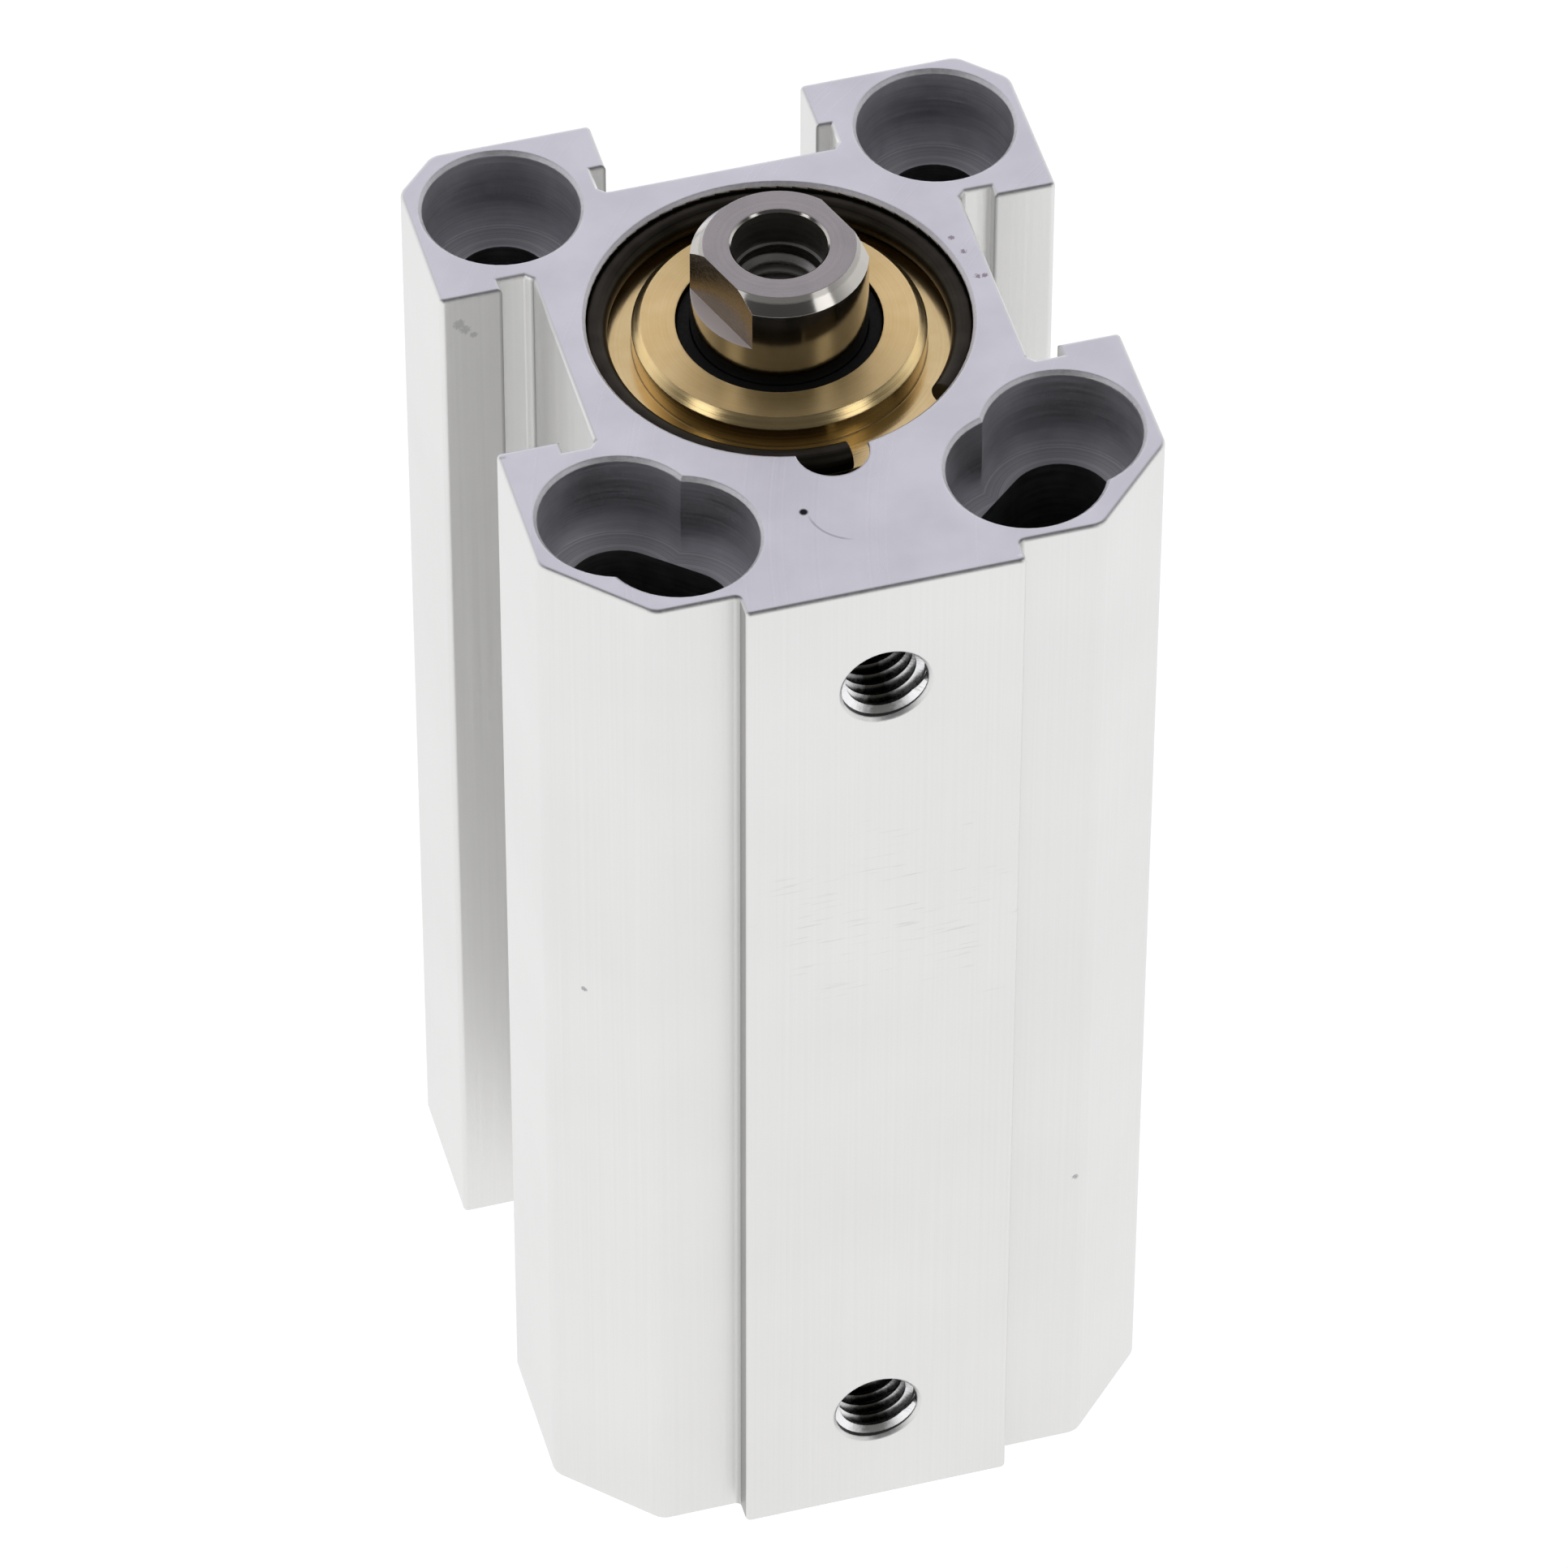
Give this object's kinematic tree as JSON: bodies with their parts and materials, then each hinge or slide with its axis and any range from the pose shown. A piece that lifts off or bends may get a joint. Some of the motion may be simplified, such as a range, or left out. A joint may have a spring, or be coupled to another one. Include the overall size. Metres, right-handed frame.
{
  "type": "short-stroke pneumatic cylinder",
  "caption": "Compact block-shaped pneumatic cylinder with sensor slots, counterbored mounting holes, side ports and a sliding rod with wrench flats and a threaded end.",
  "frame": {"origin": "on the bore axis, in the plane of the rear end face", "axes": "+Z along the bore towards the rod end, -Y towards the port face, +X to the right seen from the port side"},
  "size_m": [0.036, 0.04, 0.0826],
  "materials": {
    "anodised_aluminium": "satin",
    "bare_aluminium": "satin",
    "brass": "satin",
    "rod_steel": "polished",
    "spring_steel": "satin",
    "zinc_steel": "satin",
    "black_rubber": "matte",
    "urethane": "satin",
    "guide_plastic": "matte",
    "magnet": "matte"
  },
  "bodies": {
    "barrel": {"cylinder_body": "anodised_aluminium", "rod_cover": "brass", "rod_wiper": "black_rubber", "rod_seal": "black_rubber", "rod_cover_o_ring": "black_rubber", "front_snap_ring": "spring_steel", "front_bumper": "urethane", "rear_bumper": "urethane", "rear_cover": "bare_aluminium", "rear_cover_o_ring": "black_rubber", "rear_snap_ring": "spring_steel"},
    "packing": {"piston_seal": "black_rubber", "piston_wear_ring": "guide_plastic"},
    "rod": {"piston_rod": "rod_steel", "piston_front_half": "bare_aluminium", "piston_rear_half": "bare_aluminium", "piston_magnet": "magnet", "rod_o_ring": "black_rubber", "piston_washer": "zinc_steel", "piston_screw": "zinc_steel"}
  },
  "joints": [
    {"name": "rod_slide", "type": "slide", "parent": "barrel", "child": "packing", "axis": [0, 0, 1], "range_m": [0, 0.05]},
    {"name": "rod_turn", "type": "hinge", "parent": "packing", "child": "rod", "pos_m": [0, 0, 0.04], "axis": [0, 0, 1], "continuous": true}
  ]
}
